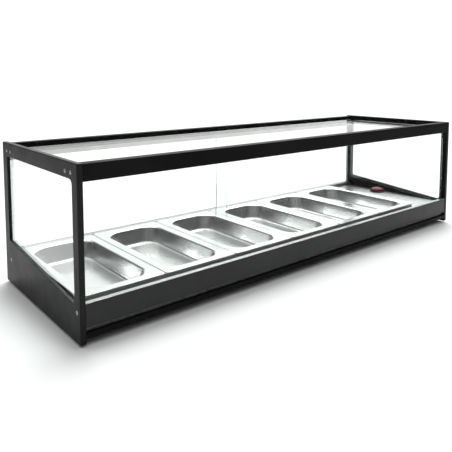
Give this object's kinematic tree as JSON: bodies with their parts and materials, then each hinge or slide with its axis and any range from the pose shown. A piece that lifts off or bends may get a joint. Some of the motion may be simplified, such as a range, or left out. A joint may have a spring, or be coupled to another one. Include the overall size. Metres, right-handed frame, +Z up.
{
  "type": "hot food display case",
  "caption": "Countertop heated display case with black end frames, glazed cabinet, sliding rear doors and a stainless well of lift-out gastronorm pans.",
  "frame": {"origin": "on the table, at the middle of the case's box", "axes": "+X to the right along the length as the customer sees it, +Y towards the service side, +Z up"},
  "size_m": [1.22, 0.385, 0.316],
  "materials": {
    "black_paint": "satin black powder coat, fine texture",
    "stainless": "satin stainless",
    "pan_steel": "bright satin stainless, pressed",
    "aluminium": "natural anodised",
    "galvanised": "dull galvanised",
    "clear_glass": "clear tempered, polished edges",
    "clear_acrylic": "clear polished",
    "rubber": "matt",
    "black_plastic": "fine moulded texture",
    "red_plastic": "translucent red",
    "white_plastic": "plain moulded",
    "mineral_wool": "pressed fibre board",
    "zinc": "bright zinc plate"
  },
  "bodies": {
    "case": {"left_end_frame": "black_paint", "right_end_frame": "black_paint", "front_top_rail": "black_paint", "rear_top_rail": "black_paint", "front_fascia": "black_paint", "front_lower_rail": "black_paint", "rear_panel": "black_paint", "front_glass_channel": "stainless", "deck_panel": "stainless", "well_tray": "stainless", "heating_element_front": "stainless", "heating_element_rear": "stainless", "thermostat_sensor": "stainless", "lower_door_track": "aluminium", "led_profile": "aluminium", "base_tray": "galvanised", "top_glass": "clear_glass", "front_glass": "clear_glass", "left_side_glass": "clear_glass", "right_side_glass": "clear_glass", "front_glass_gasket": "rubber", "foot_front_left": "rubber", "foot_front_right": "rubber", "foot_rear_left": "rubber", "foot_rear_right": "rubber", "power_switch_housing": "black_plastic", "power_inlet": "black_plastic", "light_switch_housing": "black_plastic", "pilot_lamp": "red_plastic", "upper_door_track": "white_plastic", "thermostat_body": "white_plastic", "led_diffuser": "white_plastic", "led_driver": "white_plastic", "terminal_block": "white_plastic", "insulation_board": "mineral_wool", "left_screw_top_1": "zinc", "left_screw_top_2": "zinc", "left_screw_top_3": "zinc", "left_screw_top_4": "zinc", "left_screw_low_1": "zinc", "left_screw_low_2": "zinc", "right_screw_top_1": "zinc", "right_screw_top_2": "zinc", "right_screw_top_3": "zinc", "right_screw_top_4": "zinc", "right_screw_low_1": "zinc", "right_screw_low_2": "zinc"},
    "left_door": {"rear_door_left": "clear_glass", "door_pull_left": "clear_acrylic"},
    "right_door": {"rear_door_right": "clear_glass", "door_pull_right": "clear_acrylic"},
    "thermostat_knob": {"thermostat_knob": "black_plastic"},
    "power_rocker": {"power_rocker": "red_plastic"},
    "light_button": {"light_switch_button": "red_plastic"},
    "pan_1": {"pan_1": "pan_steel"},
    "pan_2": {"pan_2": "pan_steel"},
    "pan_3": {"pan_3": "pan_steel"},
    "pan_4": {"pan_4": "pan_steel"},
    "pan_5": {"pan_5": "pan_steel"},
    "pan_6": {"pan_6": "pan_steel"}
  },
  "joints": [
    {"name": "left_door_slide", "type": "slide", "parent": "case", "child": "left_door", "axis": [1, 0, 0], "range_m": [0, 0.56]},
    {"name": "right_door_slide", "type": "slide", "parent": "case", "child": "right_door", "axis": [1, 0, 0], "range_m": [-0.56, 0]},
    {"name": "pan_1_lift", "type": "slide", "parent": "case", "child": "pan_1", "axis": [0, 0, 1], "range_m": [0, 0.12]},
    {"name": "pan_2_lift", "type": "slide", "parent": "case", "child": "pan_2", "axis": [0, 0, 1], "range_m": [0, 0.12]},
    {"name": "pan_3_lift", "type": "slide", "parent": "case", "child": "pan_3", "axis": [0, 0, 1], "range_m": [0, 0.12]},
    {"name": "pan_4_lift", "type": "slide", "parent": "case", "child": "pan_4", "axis": [0, 0, 1], "range_m": [0, 0.12]},
    {"name": "pan_5_lift", "type": "slide", "parent": "case", "child": "pan_5", "axis": [0, 0, 1], "range_m": [0, 0.12]},
    {"name": "pan_6_lift", "type": "slide", "parent": "case", "child": "pan_6", "axis": [0, 0, 1], "range_m": [0, 0.12]},
    {"name": "thermostat_turn", "type": "hinge", "parent": "case", "child": "thermostat_knob", "pos_m": [0.574, 0.1735, 0.038], "axis": [0, -1, 0], "range_deg": [0, 270]},
    {"name": "power_rocker_tilt", "type": "hinge", "parent": "case", "child": "power_rocker", "pos_m": [0.534, 0.1725, 0.038], "axis": [1, 0, 0], "range_deg": [0, 18]},
    {"name": "light_button_press", "type": "slide", "parent": "case", "child": "light_button", "axis": [0, 0, -1], "range_m": [0, 0.0025], "stiffness_N_per_m": 300, "springref_m": -0.005}
  ]
}
